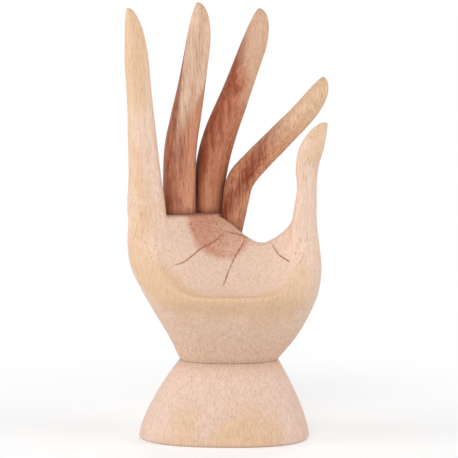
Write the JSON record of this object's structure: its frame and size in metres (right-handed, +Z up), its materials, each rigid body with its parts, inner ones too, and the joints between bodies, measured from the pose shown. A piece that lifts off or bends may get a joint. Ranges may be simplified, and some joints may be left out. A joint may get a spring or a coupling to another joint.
{
  "type": "carved hand sculpture",
  "caption": "Carved wooden hand in a teaching gesture, palm cupped and fingers fanned apart, on a flared pedestal that stands on a table or shelf.",
  "frame": {"origin": "middle of the pedestal's flat underside", "axes": "+Z up along the hand, the palm faces -Y, and the thumb is on the +X side"},
  "size_m": [0.1068, 0.0668, 0.2308],
  "materials": {
    "pale_wood": "sanded pale sapwood with fine grain, oiled to a low sheen",
    "heart_wood": "sanded red-brown heartwood running out to pale sapwood at the tips, low sheen",
    "dowel_wood": "raw turned dowel"
  },
  "bodies": {
    "root": {"pedestal": "pale_wood", "palm": "pale_wood", "ring_finger": "heart_wood", "middle_finger": "heart_wood", "index_finger": "heart_wood", "wrist_dowel_left": "dowel_wood", "wrist_dowel_right": "dowel_wood", "ring_finger_dowel": "dowel_wood", "middle_finger_dowel": "dowel_wood", "index_finger_dowel": "dowel_wood"}
  },
  "joints": []
}
